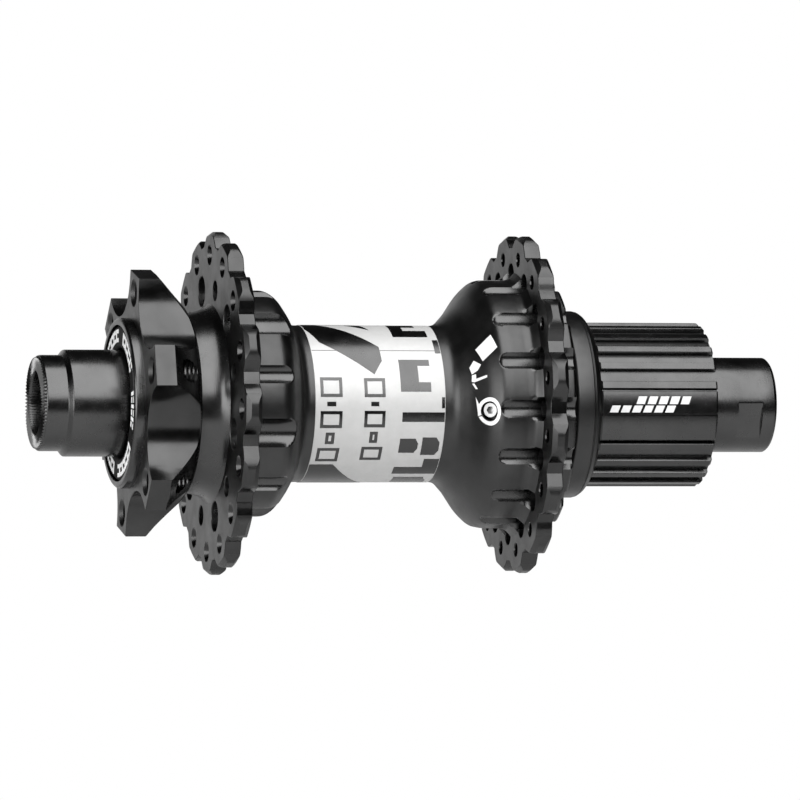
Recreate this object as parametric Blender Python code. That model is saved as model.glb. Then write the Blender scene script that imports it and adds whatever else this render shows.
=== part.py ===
"""Rear bicycle hub for a 12 x 148 mm through-axle: shell, freehub, pawl ratchet, bearings and end caps.

The hub's axis is Y. The brake disc side is +Y, the drive side is -Y, +X is forwards and +Z is up.
The origin is on the axis, midway between the two faces that meet the frame.
Shapes are drawn in millimetres and stored in metres.
"""

import math

import bmesh
import bpy

MM = 0.001

# Facets round a full turn.
SHELL_STEPS = 30
AXLE_STEPS = 24
BEARING_STEPS = 18
BALL_STEPS = 6
BALL_RINGS = 4
HOLE_STEPS = 8
SPOKE_HOLE_STEPS = 6

# Fixed parts: the axle and what is clamped on it.
HALF_WIDTH = 74.0
BORE_RADIUS = 6.15
AXLE_RADIUS = 7.5
AXLE_HALF_LENGTH = 70.0
AXLE_WAIST_RADIUS = 8.8
AXLE_WAIST = (-9.2, 48.2)
ON_AXLE_RADIUS = 7.75
CAP_RADIUS = 9.35
CAP_FACE_RADIUS = 8.85
CAP_COLLAR_RADIUS = 10.4
CAP_INNER_STEP = 70.2
ORING_RADIUS = 8.1
ORING_SECTION = 0.42
ORING_GROOVE_RADIUS = 8.7
ORING_Y = 66.8
SPACER_RADIUS = 9.1

# Spoke flanges.
FLANGE_TIP = 33.5
FLANGE_MID = 32.5
FLANGE_VALLEY = 31.2
FLANGE_TEETH = 16
TOOTH_HALF_ANGLE = 2.6
TOOTH_SIDE_ANGLE = 5.7
SPOKE_CIRCLE = 29.0
SPOKE_HOLE_RADIUS = 1.3
DISC_FLANGE = (36.05, 39.3)
DISC_FLANGE_PHASE = 2.0
DRIVE_FLANGE = (-24.85, -21.6)
DRIVE_FLANGE_PHASE = 12.4

# Brake disc mount.
DISC_FACE_Y = 55.3
TAB_COUNT = 6
TAB_PHASE = 13.4
TAB_TIP = 25.75
TAB_FACETS = 18
TAB_TIP_BACK_Y = 51.1
TAB_ROOT_RADIUS = 19.4
TAB_ROOT_Y = 45.3
TAB_END_Y = 44.0
TAB_ARC_CENTRE = 28.2
TAB_ARC_RADIUS = 10.05
TAB_ARC_STEPS = 24
BOLT_CIRCLE = 22.0
BOLT_HOLE_RADIUS = 2.1

# Lightening holes on the disc side and grooves on the drive side.
DISC_GROOVE_CIRCLE = 22.7
DISC_GROOVE_WIDE = 3.0
DISC_GROOVE_NARROW = 1.95
DISC_GROOVE = (24.5, 42.5)
DISC_WIDE_PHASE = -15.0
DISC_NARROW_PHASE = 15.0
DRIVE_GROOVE_CIRCLE = 25.6
DRIVE_GROOVE_RADIUS = 2.1
DRIVE_GROOVE = (-30.5, -13.4)
DRIVE_GROOVE_PHASE = 2.0
GREASE_ANGLE = 93.0
GREASE_SEAT_RADIUS = 22.0
GREASE_SEAT_Y = -11.65
GREASE_HOLE_RADIUS = 1.7
GREASE_SCREW_RADIUS = 1.4
GREASE_DEPTH = 3.0
GREASE_TILT = 40.0

# Shell bearings, 15 x 28 x 7 mm, and freehub bearings, 15 x 24 x 5 mm.
SHELL_SEAT_RADIUS = 14.05
DISC_BEARING_Y = 52.0
DRIVE_BEARING_Y = -13.0
FREEHUB_SEAT_RADIUS = 12.15
INNER_FREEHUB_BEARING_Y = -31.1
OUTER_FREEHUB_BEARING_Y = -55.3
BALL_COUNT = 8

# Ratchet.
RATCHET_TEETH = 36
RATCHET_ROOT = 17.7
RATCHET_TIP = 16.2
RATCHET_OUTER = 19.2
RATCHET_CAVITY = 19.5
RATCHET = (-26.6, -17.3)
RATCHET_ROOT_ANGLE = 21.2
RATCHET_TIP_ANGLE = 23.6
PAWL_COUNT = 6
PAWL_PIVOT = 13.9
PAWL_RADIUS = 1.35
PAWL = (-25.5, -19.4)
POCKET_RADIUS = 1.65
POCKET = (-25.8, -19.1)
PAWL_PHASE = 30.0

# Freehub body.
CARRIER_RADIUS = 15.7
COLLAR_RADIUS = 18.4
SPLINE_TIP = 16.15
SPLINE_ROOT = 15.15
SPLINE_RIDGES = 23
FIRST_RIDGE = 121.0
LAST_RIDGE = 436.0
RIDGE_HALF_ANGLE = 2.5
RIDGE_FLANK_ANGLE = 0.7
LAND_START = 80.6
LAND_END = 115.4
FREEHUB_END = -59.8
CARRIER_BORE = 9.8
CIRCLIP = (-58.95, -58.25)


def around(radius, along, degrees):
    """A point at this angle round the axis: 0 is up, and 90 is towards the rear."""
    angle = math.radians(degrees)
    return (-radius * math.sin(angle), along, radius * math.cos(angle))


def spot(radius, degrees):
    """The same point as (x, z)."""
    x, _, z = around(radius, 0.0, degrees)
    return (x, z)


def stored(name, shape):
    """Makes an object from a bmesh that holds one closed shape or several apart."""
    bmesh.ops.recalc_face_normals(shape, faces=shape.faces)
    mesh = bpy.data.meshes.new(name)
    shape.to_mesh(mesh)
    shape.free()
    made = bpy.data.objects.new(name, mesh)
    bpy.context.scene.collection.objects.link(made)
    return made


def turned(name, profile, steps, phase=0.0):
    """Spins a loop of (radius, y) points about Y. A point on the axis becomes one vertex."""
    shape = bmesh.new()
    rings = []
    for radius, along in profile:
        if radius == 0:
            rings.append([shape.verts.new((0, along, 0))] * steps)
            continue
        angles = [phase + 360 * step / steps for step in range(steps)]
        rings.append([shape.verts.new(around(radius, along, angle)) for angle in angles])
    for ring, following in zip(rings, rings[1:] + rings[:1]):
        for step in range(steps):
            after = (step + 1) % steps
            corners = [ring[step], ring[after], following[after], following[step]]
            distinct = list(dict.fromkeys(corners))
            if len(distinct) > 2:
                shape.faces.new(distinct)
    return stored(name, shape)


def add_prism(shape, outline, low, high):
    """Adds an (x, z) outline drawn out along Y to a bmesh."""
    bottom = [shape.verts.new((x, low, z)) for x, z in outline]
    top = [shape.verts.new((x, high, z)) for x, z in outline]
    shape.faces.new(bottom)
    shape.faces.new(top)
    count = len(outline)
    for index in range(count):
        after = (index + 1) % count
        shape.faces.new([bottom[index], bottom[after], top[after], top[index]])


def prism(name, outline, low, high):
    shape = bmesh.new()
    add_prism(shape, outline, low, high)
    return stored(name, shape)


def circle(centre, radius, steps, phase=0.0):
    x, z = centre
    angles = [math.radians(phase + 360 * step / steps) for step in range(steps)]
    return [(x + radius * math.cos(angle), z + radius * math.sin(angle)) for angle in angles]


def drills(name, spots, radius, low, high, steps=HOLE_STEPS, phase=0.0):
    """Round cutters along Y, one at each (circle radius, degrees)."""
    shape = bmesh.new()
    for distance, degrees in spots:
        add_prism(shape, circle(spot(distance, degrees), radius, steps, phase - degrees), low, high)
    return stored(name, shape)


def combine(target, other, operation):
    """Applies a Boolean and deletes the other object."""
    modifier = target.modifiers.new("combine", "BOOLEAN")
    modifier.solver = "EXACT"
    modifier.operation = operation
    modifier.object = other
    graph = bpy.context.evaluated_depsgraph_get()
    mesh = bpy.data.meshes.new_from_object(target.evaluated_get(graph))
    target.modifiers.clear()
    target.data = mesh
    bpy.data.objects.remove(other, do_unlink=True)
    return target


def cut(target, cutter):
    return combine(target, cutter, "DIFFERENCE")


def join(target, other):
    return combine(target, other, "UNION")


def cleaned(target):
    """Merges stray points and flat splits that a Boolean leaves."""
    shape = bmesh.new()
    shape.from_mesh(target.data)
    bmesh.ops.remove_doubles(shape, verts=shape.verts, dist=0.002)
    bmesh.ops.dissolve_limit(shape, angle_limit=math.radians(0.2), verts=shape.verts, edges=shape.edges)
    bmesh.ops.triangulate(shape, faces=shape.faces)
    shape.to_mesh(target.data)
    shape.free()
    return target


def finish(target, colour, roughness, metallic, centre=(0.0, 0.0, 0.0)):
    """Scales to metres, puts the origin at the centre, and gives the object its own material."""
    for vertex in target.data.vertices:
        vertex.co = [(value - middle) * MM for value, middle in zip(vertex.co, centre)]
    target.location = [middle * MM for middle in centre]
    material = bpy.data.materials.new(target.name)
    material.use_nodes = True
    shader = material.node_tree.nodes["Principled BSDF"]
    shader.inputs["Base Color"].default_value = (*colour, 1.0)
    shader.inputs["Roughness"].default_value = roughness
    shader.inputs["Metallic"].default_value = metallic
    target.data.materials.clear()
    target.data.materials.append(material)
    target.data.shade_smooth()
    target.data.set_sharp_from_angle(angle=math.radians(30))
    return target


def anodised(target, centre=(0.0, 0.0, 0.0)):
    return finish(target, (0.018, 0.018, 0.02), 0.38, 0.9, centre)


def steel(target, centre=(0.0, 0.0, 0.0)):
    return finish(target, (0.56, 0.56, 0.55), 0.25, 1.0, centre)


def rubber(target):
    return finish(target, (0.012, 0.012, 0.012), 0.75, 0.0)


def flange(name, limits, phase):
    """A disc whose rim has flat-topped teeth with a hollow between each two."""
    pitch = 360 / FLANGE_TEETH
    outline = []
    for tooth in range(FLANGE_TEETH):
        middle = phase + pitch * tooth
        outline.append(spot(FLANGE_TIP, middle - TOOTH_HALF_ANGLE))
        outline.append(spot(FLANGE_TIP, middle + TOOTH_HALF_ANGLE))
        outline.append(spot(FLANGE_MID, middle + TOOTH_SIDE_ANGLE))
        outline.append(spot(FLANGE_VALLEY, middle + pitch / 2))
        outline.append(spot(FLANGE_MID, middle + pitch - TOOTH_SIDE_ANGLE))
    return prism(name, outline, *limits)


def spoke_drills(limits, phase):
    spots = [(SPOKE_CIRCLE, phase + 360 * hole / FLANGE_TEETH) for hole in range(FLANGE_TEETH)]
    return drills("spoke_drills", spots, SPOKE_HOLE_RADIUS, limits[0] - 1, limits[1] + 1, SPOKE_HOLE_STEPS)


def disc_mount():
    """The six tabs that hold the brake disc, with a sloping back and a hollow between each two."""
    vertex_scale = 1 / math.cos(math.pi / TAB_FACETS)
    profile = [
        (0, DISC_FACE_Y),
        (TAB_TIP * vertex_scale, DISC_FACE_Y),
        (TAB_TIP * vertex_scale, TAB_TIP_BACK_Y),
        (TAB_ROOT_RADIUS * vertex_scale, TAB_ROOT_Y),
        (TAB_ROOT_RADIUS - 1.2, TAB_END_Y),
        (0, TAB_END_Y),
    ]
    tabs = turned("tabs", profile, TAB_FACETS, TAB_PHASE + 180 / TAB_FACETS)
    gaps = [(TAB_ARC_CENTRE, TAB_PHASE + 60 * tab + 30) for tab in range(TAB_COUNT)]
    cut(tabs, drills("gaps", gaps, TAB_ARC_RADIUS, TAB_END_Y - 1, DISC_FACE_Y + 1, TAB_ARC_STEPS))
    bolts = [(BOLT_CIRCLE, TAB_PHASE + 60 * tab) for tab in range(TAB_COUNT)]
    return cut(tabs, drills("bolts", bolts, BOLT_HOLE_RADIUS, TAB_END_Y - 1, DISC_FACE_Y + 1))


def grease_axis():
    """The centre of the grease port's mouth and the direction it faces, in millimetres."""
    seat = around(GREASE_SEAT_RADIUS, GREASE_SEAT_Y, GREASE_ANGLE)
    outward = around(math.cos(math.radians(GREASE_TILT)), math.sin(math.radians(GREASE_TILT)), GREASE_ANGLE)
    return seat, outward


def plug(name, seat, outward, radius, start, end, steps=HOLE_STEPS):
    """A round or many-sided bar along a direction, from start to end past the seat."""
    shape = bmesh.new()
    sideways = (-outward[1], outward[0], 0.0)
    length = math.hypot(*sideways)
    sideways = [value / length for value in sideways]
    third = [
        outward[1] * sideways[2] - outward[2] * sideways[1],
        outward[2] * sideways[0] - outward[0] * sideways[2],
        outward[0] * sideways[1] - outward[1] * sideways[0],
    ]
    rings = []
    for reach in (start, end):
        ring = []
        for x, z in circle((0, 0), radius, steps):
            ring.append(
                shape.verts.new([seat[i] + outward[i] * reach + sideways[i] * x + third[i] * z for i in range(3)])
            )
        rings.append(ring)
        shape.faces.new(ring)
    for step in range(steps):
        after = (step + 1) % steps
        shape.faces.new([rings[0][step], rings[0][after], rings[1][after], rings[1][step]])
    return stored(name, shape)


def hub_shell():
    outer = [
        (0, 57.5),
        (16.2, 57.5),
        (16.6, 57.1),
        (16.6, 54.4),
        (17.6, 53.4),
        (17.6, 42.0),
        (18.5, 40.3),
        (19.7, 39.0),
        (22.1, 38.2),
        (22.1, 28.6),
        (21.3, 27.4),
        (20.1, 26.2),
        (18.2, 25.0),
        (15.9, 23.9),
        (15.33, 23.1),
        (15.33, -6.7),
        (16.7, -7.8),
        (18.45, -9.3),
        (21.85, -11.7),
        (23.3, -12.8),
        (24.1, -13.9),
        (24.45, -15.2),
        (24.45, -19.8),
        (26.0, -21.8),
        (26.0, -23.0),
        (25.5, -23.4),
        (25.5, -28.0),
        (25.0, -28.5),
        (0, -28.5),
    ]
    bore = [
        (0, 58.5),
        (15.25, 58.5),
        (15.25, 55.6),
        (SHELL_SEAT_RADIUS, 55.6),
        (SHELL_SEAT_RADIUS, 48.2),
        (12.4, 48.2),
        (12.4, -9.2),
        (SHELL_SEAT_RADIUS, -9.2),
        (SHELL_SEAT_RADIUS, -16.9),
        (RATCHET_CAVITY, -16.9),
        (RATCHET_CAVITY, -30.5),
        (0, -30.5),
    ]
    shell = turned("hub_shell", outer, SHELL_STEPS)
    join(shell, disc_mount())
    join(shell, flange("disc_flange", DISC_FLANGE, DISC_FLANGE_PHASE))
    join(shell, flange("drive_flange", DRIVE_FLANGE, DRIVE_FLANGE_PHASE))
    cut(shell, turned("bore", bore, SHELL_STEPS))
    cut(shell, spoke_drills(DISC_FLANGE, DISC_FLANGE_PHASE))
    cut(shell, spoke_drills(DRIVE_FLANGE, DRIVE_FLANGE_PHASE))
    wide = [(DISC_GROOVE_CIRCLE, DISC_WIDE_PHASE + 60 * index) for index in range(6)]
    narrow = [(DISC_GROOVE_CIRCLE, DISC_NARROW_PHASE + 60 * index) for index in range(6)]
    cut(shell, drills("wide", wide, DISC_GROOVE_WIDE, *DISC_GROOVE, phase=22.5))
    cut(shell, drills("narrow", narrow, DISC_GROOVE_NARROW, *DISC_GROOVE, phase=22.5))
    grooves = [(DRIVE_GROOVE_CIRCLE, DRIVE_GROOVE_PHASE + 22.5 * index) for index in range(16)]
    cut(shell, drills("grooves", grooves, DRIVE_GROOVE_RADIUS, *DRIVE_GROOVE, phase=22.5))
    seat, outward = grease_axis()
    cut(shell, plug("port", seat, outward, GREASE_HOLE_RADIUS, -GREASE_DEPTH, 3.0))
    return anodised(cleaned(shell))


def grease_port_screw():
    seat, outward = grease_axis()
    screw = plug("grease_port_screw", seat, outward, GREASE_SCREW_RADIUS, 0.35 - GREASE_DEPTH, -0.25)
    cut(screw, plug("socket", seat, outward, 0.75, -1.3, 1.0, 6))
    return steel(screw)


def pawl_frame(pawl):
    """Turns (u, v) at a pawl into (x, z): v is outwards through the pivot, and u is the way the tip points."""
    angle = math.radians(PAWL_PHASE + 60 * pawl)
    outwards = (-math.sin(angle), math.cos(angle))
    forwards = (math.cos(angle), math.sin(angle))
    return lambda u, v: (forwards[0] * u + outwards[0] * v, forwards[1] * u + outwards[1] * v)


def ratchet_ring():
    """A ring with saw teeth inside, in mesh with the pawls."""
    shape = bmesh.new()
    pitch = 360 / RATCHET_TEETH
    rings = {}
    for low in RATCHET:
        inner, outer = [], []
        for tooth in range(RATCHET_TEETH):
            for radius, lead in ((RATCHET_ROOT, RATCHET_ROOT_ANGLE), (RATCHET_TIP, RATCHET_TIP_ANGLE)):
                angle = PAWL_PHASE - lead - pitch * tooth
                inner.append(shape.verts.new(around(radius, low, angle)))
                outer.append(shape.verts.new(around(RATCHET_OUTER, low, angle)))
        rings[low] = (inner, outer)
    (low_inner, low_outer), (high_inner, high_outer) = rings[RATCHET[0]], rings[RATCHET[1]]
    count = len(low_inner)
    for index in range(count):
        after = (index + 1) % count
        shape.faces.new([low_inner[index], low_inner[after], high_inner[after], high_inner[index]])
        shape.faces.new([low_outer[index], low_outer[after], high_outer[after], high_outer[index]])
        shape.faces.new([low_inner[index], low_inner[after], low_outer[after], low_outer[index]])
        shape.faces.new([high_inner[index], high_inner[after], high_outer[after], high_outer[index]])
    return steel(stored("ratchet_ring", shape))


def arc_points(centre_v, radius, start, end, steps):
    """Points (u, v) on a circle round a pawl's pivot."""
    angles = [math.radians(start + (end - start) * step / steps) for step in range(steps + 1)]
    return [(radius * math.cos(angle), centre_v + radius * math.sin(angle)) for angle in angles]


def pawl(index):
    place = pawl_frame(index)
    outline = arc_points(PAWL_PIVOT, PAWL_RADIUS, 90, 300, 5)
    outline += [(5.47, 14.72), (5.88, 16.16), (4.6, 15.55)]
    made = prism(f"pawl_{index + 1}", [place(u, v) for u, v in outline], *PAWL)
    x, z = place(0, PAWL_PIVOT)
    return steel(made, (x, sum(PAWL) / 2, z))


def pawl_spring(index):
    place = pawl_frame(index)
    outline = [(2.4, 12.6), (6.2, 13.02), (6.2, 13.22), (2.4, 12.8)]
    made = prism(f"pawl_spring_{index + 1}", [place(u, v) for u, v in outline], -23.9, -21.0)
    return steel(made)


def pocket_cutter():
    shape = bmesh.new()
    outline = arc_points(PAWL_PIVOT, POCKET_RADIUS, 90, 270, 4)
    outline += [(3.0, 12.45), (6.9, 12.9), (6.9, 19.0), (0.0, 19.0)]
    for index in range(PAWL_COUNT):
        place = pawl_frame(index)
        add_prism(shape, [place(u, v) for u, v in outline], *POCKET)
    return stored("pockets", shape)


def spline_outline():
    """Narrow ridges at an even pitch, and one wide plain land."""
    outline = [spot(SPLINE_TIP, LAND_START + (LAND_END - LAND_START) * step / 4) for step in range(5)]
    outline.append(spot(SPLINE_ROOT, LAND_END + RIDGE_FLANK_ANGLE))
    pitch = (LAST_RIDGE - FIRST_RIDGE) / (SPLINE_RIDGES - 1)
    foot = RIDGE_HALF_ANGLE + RIDGE_FLANK_ANGLE
    for ridge in range(SPLINE_RIDGES):
        middle = FIRST_RIDGE + pitch * ridge
        outline.append(spot(SPLINE_ROOT, middle - foot))
        outline.append(spot(SPLINE_TIP, middle - RIDGE_HALF_ANGLE))
        outline.append(spot(SPLINE_TIP, middle + RIDGE_HALF_ANGLE))
        outline.append(spot(SPLINE_ROOT, middle + foot))
    outline.append(spot(SPLINE_ROOT, LAND_START + 360 - RIDGE_FLANK_ANGLE))
    return outline


def freehub_body():
    outer = [
        (0, -18.5),
        (15.2, -18.5),
        (CARRIER_RADIUS, -19.0),
        (CARRIER_RADIUS, -29.3),
        (17.6, -29.9),
        (COLLAR_RADIUS, -30.9),
        (COLLAR_RADIUS, -35.4),
        (17.9, -36.8),
        (0, -36.8),
    ]
    bore = [
        (0, -17.5),
        (CARRIER_BORE, -17.5),
        (CARRIER_BORE, -28.4),
        (FREEHUB_SEAT_RADIUS, -28.4),
        (FREEHUB_SEAT_RADIUS, -58.05),
        (12.95, -58.05),
        (12.95, -59.15),
        (FREEHUB_SEAT_RADIUS, -59.15),
        (FREEHUB_SEAT_RADIUS, -61.5),
        (0, -61.5),
    ]
    body = turned("freehub_body", outer, SHELL_STEPS)
    join(body, prism("splines", spline_outline(), FREEHUB_END, -36.0))
    cut(body, turned("bore", bore, SHELL_STEPS))
    cut(body, pocket_cutter())
    return anodised(cleaned(body))


def circlip():
    inner = [spot(11.2, 20 + 320 * step / 16) for step in range(17)]
    outer = [spot(12.6, 20 + 320 * step / 16) for step in range(17)]
    return steel(prism("freehub_circlip", inner + outer[::-1], *CIRCLIP))


def ball_set(name, middle, pitch_radius, ball_radius, cage_half, cage_depth):
    """The balls of one bearing, joined by their cage."""
    cage_profile = [
        (pitch_radius - cage_depth, middle - cage_half),
        (pitch_radius + cage_depth, middle - cage_half),
        (pitch_radius + cage_depth, middle + cage_half),
        (pitch_radius - cage_depth, middle + cage_half),
    ]
    made = turned(name, cage_profile, BEARING_STEPS)
    shape = bmesh.new()
    for ball in range(BALL_COUNT):
        x, y, z = around(pitch_radius, middle, 360 * (ball + 0.25) / BALL_COUNT)
        new = bmesh.ops.create_uvsphere(shape, u_segments=BALL_STEPS, v_segments=BALL_RINGS, radius=ball_radius)
        bmesh.ops.translate(shape, verts=new["verts"], vec=(x, y, z))
    join(made, stored("balls", shape))
    return steel(cleaned(made))


def bearing(name, middle, half, outer_radius, pitch_radius, ball_radius, lip):
    """Inner race, outer race, two seals and the ball set of one bearing."""
    inner_top = pitch_radius - lip
    outer_bottom = pitch_radius + lip
    clear = ball_radius + 0.3
    mouth = math.sqrt(clear**2 - lip**2) + 0.04
    inner = [
        (ON_AXLE_RADIUS, middle - half),
        (inner_top, middle - half),
        (inner_top, middle - mouth),
        (pitch_radius - clear, middle - mouth * 0.45),
        (pitch_radius - clear, middle + mouth * 0.45),
        (inner_top, middle + mouth),
        (inner_top, middle + half),
        (ON_AXLE_RADIUS, middle + half),
    ]
    outer = [
        (outer_radius, middle - half),
        (outer_bottom, middle - half),
        (outer_bottom, middle - mouth),
        (pitch_radius + clear + 0.1, middle - mouth * 0.45),
        (pitch_radius + clear + 0.1, middle + mouth * 0.45),
        (outer_bottom, middle + mouth),
        (outer_bottom, middle + half),
        (outer_radius, middle + half),
    ]
    steel(turned(f"{name}_inner_race", inner, BEARING_STEPS))
    steel(turned(f"{name}_outer_race", outer, BEARING_STEPS))
    ball_set(f"{name}_ball_set", middle, pitch_radius, ball_radius, ball_radius * 0.35, ball_radius * 0.25)
    for side, label in ((1, "disc_side"), (-1, "drive_side")):
        near, far = middle + side * (half - 0.6), middle + side * (half - 0.1)
        seal = [
            (inner_top + 0.3, near),
            (outer_bottom - 0.25, near),
            (outer_bottom - 0.25, far),
            (inner_top + 0.3, far),
        ]
        rubber(turned(f"{name}_{label}_seal", seal, BEARING_STEPS))


def ring(name, inner, outer, low, high, steps=BEARING_STEPS):
    return turned(name, [(inner, low), (outer, low), (outer, high), (inner, high)], steps)


def end_cap(name, side, collar):
    """A cap over one end of the axle. Side is +1 for the disc side and -1 for the drive side."""
    profile = [
        (BORE_RADIUS, HALF_WIDTH),
        (CAP_FACE_RADIUS, HALF_WIDTH),
        (CAP_RADIUS, HALF_WIDTH - 0.5),
        *collar,
        (ON_AXLE_RADIUS, collar[-1][1]),
        (ON_AXLE_RADIUS, ORING_Y - 0.8),
        (ORING_GROOVE_RADIUS, ORING_Y - 0.8),
        (ORING_GROOVE_RADIUS, ORING_Y + 0.8),
        (ON_AXLE_RADIUS, ORING_Y + 0.8),
        (ON_AXLE_RADIUS, CAP_INNER_STEP),
        (BORE_RADIUS, CAP_INNER_STEP),
    ]
    return turned(name, [(radius, along * side) for radius, along in profile], AXLE_STEPS)


def o_ring(name, side):
    profile = []
    for step in range(5):
        angle = math.radians(72 * step)
        profile.append((ORING_RADIUS + ORING_SECTION * math.cos(angle), side * ORING_Y + ORING_SECTION * math.sin(angle)))
    return rubber(turned(name, profile, BEARING_STEPS))


def wrench_flats():
    """Two cutters that leave flats on the drive side cap, square to the line at 111 degrees."""
    shape = bmesh.new()
    for degrees in (111.0, 291.0):
        near_a, near_b = spot(math.hypot(8.6, 7.0), degrees - 39.14), spot(math.hypot(8.6, 7.0), degrees + 39.14)
        far_a, far_b = spot(math.hypot(12.0, 7.0), degrees - 30.26), spot(math.hypot(12.0, 7.0), degrees + 30.26)
        add_prism(shape, [near_a, near_b, far_b, far_a], -71.0, -66.0)
    return stored("flats", shape)


def axle():
    profile = [
        (BORE_RADIUS, AXLE_HALF_LENGTH),
        (AXLE_RADIUS - 0.3, AXLE_HALF_LENGTH),
        (AXLE_RADIUS, AXLE_HALF_LENGTH - 0.3),
        (AXLE_RADIUS, AXLE_WAIST[1]),
        (AXLE_WAIST_RADIUS, AXLE_WAIST[1]),
        (AXLE_WAIST_RADIUS, AXLE_WAIST[0]),
        (AXLE_RADIUS, AXLE_WAIST[0]),
        (AXLE_RADIUS, 0.3 - AXLE_HALF_LENGTH),
        (AXLE_RADIUS - 0.3, -AXLE_HALF_LENGTH),
        (BORE_RADIUS, -AXLE_HALF_LENGTH),
    ]
    return finish(turned("axle", profile, AXLE_STEPS), (0.30, 0.30, 0.31), 0.35, 1.0)


def build():
    for existing in list(bpy.data.objects):
        bpy.data.objects.remove(existing, do_unlink=True)
    axle()
    anodised(end_cap("disc_end_cap", 1, [(CAP_RADIUS, 69.0), (CAP_COLLAR_RADIUS, 68.2), (CAP_COLLAR_RADIUS, 55.9)]))
    drive_cap = end_cap("drive_end_cap", -1, [(CAP_RADIUS, 58.2)])
    anodised(cleaned(cut(drive_cap, wrench_flats())))
    o_ring("disc_cap_o_ring", 1)
    o_ring("drive_cap_o_ring", -1)
    hub_shell()
    grease_port_screw()
    anodised(ring("dust_cover", 10.75, 15.0, 55.9, 57.2, SHELL_STEPS))
    ratchet_ring()
    rubber(ring("freehub_lip_seal", 16.1, 19.15, -28.5, -26.9))
    bearing("disc_bearing", DISC_BEARING_Y, 3.5, 13.8, 10.75, 1.95, 1.25)
    bearing("drive_bearing", DRIVE_BEARING_Y, 3.5, 13.8, 10.75, 1.95, 1.25)
    bearing("freehub_inner_bearing", INNER_FREEHUB_BEARING_Y, 2.5, 11.85, 9.75, 1.15, 0.85)
    bearing("freehub_outer_bearing", OUTER_FREEHUB_BEARING_Y, 2.5, 11.85, 9.75, 1.15, 0.85)
    anodised(ring("drive_bearing_spacer", ON_AXLE_RADIUS, SPACER_RADIUS, -28.4, -16.8))
    anodised(ring("freehub_inner_race_spacer", ON_AXLE_RADIUS, 8.7, -52.6, -33.8))
    anodised(ring("freehub_outer_race_spacer", 10.9, 11.85, -52.6, -33.8))
    freehub_body()
    circlip()
    for index in range(PAWL_COUNT):
        pawl(index)
        pawl_spring(index)


build()
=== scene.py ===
"""Looks of a rear bicycle hub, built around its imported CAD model.

The hub's axis is Y, the brake disc side is +Y, the drive side is -Y and +Z is up.
Shapes are drawn in millimetres and stored in metres. An angle is in degrees round the axis, from 0 at +Z
to 90 at -X.
"""

import math

import bmesh
import bpy
import numpy as np
from mathutils import Matrix, Vector

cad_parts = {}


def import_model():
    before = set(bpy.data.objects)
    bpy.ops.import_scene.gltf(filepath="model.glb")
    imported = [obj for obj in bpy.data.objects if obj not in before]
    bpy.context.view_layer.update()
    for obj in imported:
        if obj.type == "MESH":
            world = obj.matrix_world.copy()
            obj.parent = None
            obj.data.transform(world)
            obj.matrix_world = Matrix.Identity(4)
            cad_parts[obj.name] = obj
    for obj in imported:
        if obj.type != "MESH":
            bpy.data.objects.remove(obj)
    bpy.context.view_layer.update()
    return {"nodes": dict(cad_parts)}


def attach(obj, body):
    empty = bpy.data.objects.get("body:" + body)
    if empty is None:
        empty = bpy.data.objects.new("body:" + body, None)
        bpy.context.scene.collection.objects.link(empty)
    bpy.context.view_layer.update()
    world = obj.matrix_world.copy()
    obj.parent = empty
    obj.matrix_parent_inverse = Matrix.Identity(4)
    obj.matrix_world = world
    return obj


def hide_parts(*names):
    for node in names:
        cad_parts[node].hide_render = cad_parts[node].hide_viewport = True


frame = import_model()

MM = 0.001
TURNED_STEPS = 144
RING_SAMPLES = 480

# Hub shell: (radius, y, reach of the corner's rounding), from the disc end to the drive end,
# then back by the bore.
SHELL_OUTSIDE = [
    (15.25, 57.5, 0.1),
    (16.2, 57.5, 0.2),
    (16.6, 57.1, 0.2),
    (16.6, 54.4, 0.2),
    (17.6, 53.4, 0.3),
    (17.6, 42.8, 2.0),
    (18.5, 40.3, 0.9),
    (19.7, 39.1, 0.2),
    (22.6, 38.4, 0.1),
    (22.6, 37.0, 0.1),
    (22.1, 35.4, 0.6),
    (22.1, 28.7, 0.9),
    (21.0, 27.0, 0.9),
    (18.2, 25.0, 1.2),
    (15.9, 23.8, 0.9),
    (15.33, 22.8, 0.6),
    (15.33, -6.4, 1.5),
    (18.45, -9.3, 1.0),
    (22.3, -12.0, 1.3),
    (24.1, -14.0, 1.0),
    (24.45, -15.6, 0.8),
    (24.45, -19.2, 0.5),
    (24.75, -20.4, 0.5),
    (26.2, -21.7, 0.1),
    (26.2, -22.6, 0.1),
    (25.5, -24.0, 0.1),
    (25.5, -28.0, 0.25),
    (25.0, -28.5, 0.2),
]
SHELL_BORE = [
    (19.5, -28.5, 0.2),
    (19.5, -16.9, 0.1),
    (14.05, -16.9, 0.2),
    (14.05, -9.2, 0.1),
    (12.4, -9.2, 0.2),
    (12.4, 48.2, 0.2),
    (14.05, 48.2, 0.1),
    (14.05, 55.6, 0.2),
    (15.25, 55.6, 0.1),
]
TUBE_RADIUS = 15.33
SHELL_SKIN_RADIUS = 15.2
NECK_END_Y = 38.5
FINE_ZONES = ((-17.0, -11.0), (23.5, 28.5))

# Round grooves along the two drums: centre radius, groove radius, middle angles.
DISC_GROOVE_CENTRE = 22.7
WIDE_GROOVE = 3.0
NARROW_GROOVE = 1.95
DISC_GROOVES_Y = (24.5, 42.5)
DISC_DRUM = 22.1
DRIVE_GROOVE_CENTRE = 25.6
DRIVE_GROOVE = 2.1
DRIVE_GROOVE_BALL_Y = -14.5
DRIVE_GROOVE_COUNT = 16
DRIVE_GROOVE_PHASE = 2.0
DRIVE_DRUM = 24.45
BOSS_END_Y = -28.0

# Round the axis, a groove's wall is this far out where there is no groove.
FAR_OUT = 1000.0

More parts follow.
